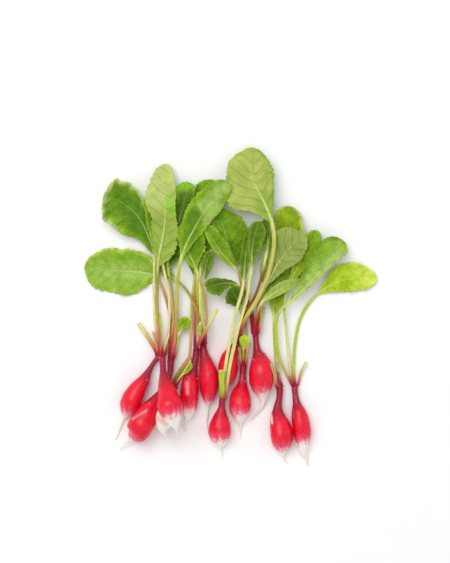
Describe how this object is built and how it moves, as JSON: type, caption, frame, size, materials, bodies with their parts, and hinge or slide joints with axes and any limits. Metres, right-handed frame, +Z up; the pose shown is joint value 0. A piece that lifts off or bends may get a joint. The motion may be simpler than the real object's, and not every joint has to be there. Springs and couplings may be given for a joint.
{
  "type": "bunch of radishes",
  "caption": "Bunch of fresh long radishes lying loose with their tails, stalks and toothed green leaves still on.",
  "frame": {"origin": "centre of the bunch's bounding box on the surface it lies on", "axes": "+Z up, +Y from the root tails towards the leaf tips, +X to the right seen from above"},
  "size_m": [0.2208, 0.2392, 0.0423],
  "materials": {
    "root_skin": "smooth moist skin, crimson to pink with a white tip",
    "leaf_green": "satin, finely veined and puckered",
    "leaf_dark": "satin, deep green",
    "leaf_underside": "matte, pale underside with raised veins",
    "leaf_yellow_green": "satin, young yellow-green leaf",
    "cut_stalk": "moist cut stalk, cream to pink"
  },
  "bodies": {
    "root": {"radish_01": "root_skin", "radish_02": "root_skin", "radish_04": "root_skin", "radish_05": "root_skin", "radish_06": "root_skin", "radish_07": "root_skin", "radish_09": "root_skin", "radish_10": "root_skin", "radish_12": "root_skin", "radish_11": "root_skin", "radish_08": "root_skin", "radish_03": "root_skin", "leaf_02_a": "leaf_green", "stalk_04_a": "cut_stalk", "leaf_04_a": "leaf_dark", "leaf_05_a": "leaf_green", "leaf_06_a": "leaf_dark", "leaf_06_b": "leaf_dark", "leaf_06_c": "leaf_green", "leaf_02_b": "leaf_dark", "leaf_03_a": "leaf_green", "leaf_03_b": "leaf_green", "leaf_03_c": "leaf_underside", "leaf_05_b": "leaf_dark", "leaf_06_d": "leaf_dark", "leaf_10_a": "leaf_green", "leaf_10_b": "leaf_green", "leaf_09_a": "leaf_dark", "leaf_09_b": "leaf_dark", "leaf_11_a": "leaf_green", "leaf_10_c": "leaf_dark", "leaf_10_d": "leaf_green", "leaf_12_a": "leaf_green", "leaf_12_b": "leaf_yellow_green", "leaf_10_e": "leaf_underside", "leaf_10_f": "leaf_underside", "leaf_12_c": "leaf_green", "leaf_07_a": "leaf_dark", "leaf_07_b": "leaf_underside", "leaf_08_a": "leaf_dark", "leaf_08_b": "leaf_dark", "leaf_02_c": "leaf_green", "leaf_02_d": "leaf_green", "leaf_04_b": "leaf_green", "leaf_06_e": "leaf_green", "leaf_09_c": "leaf_yellow_green", "leaf_03_d": "leaf_green", "leaf_11_b": "leaf_dark", "stalk_01_a": "cut_stalk", "stalk_01_b": "cut_stalk", "stalk_03_a": "cut_stalk", "stalk_05_a": "cut_stalk", "stalk_08_a": "cut_stalk", "stalk_09_a": "cut_stalk", "stalk_09_b": "cut_stalk", "stalk_10_a": "cut_stalk", "stalk_11_a": "cut_stalk", "stalk_12_a": "cut_stalk"}
  },
  "joints": []
}
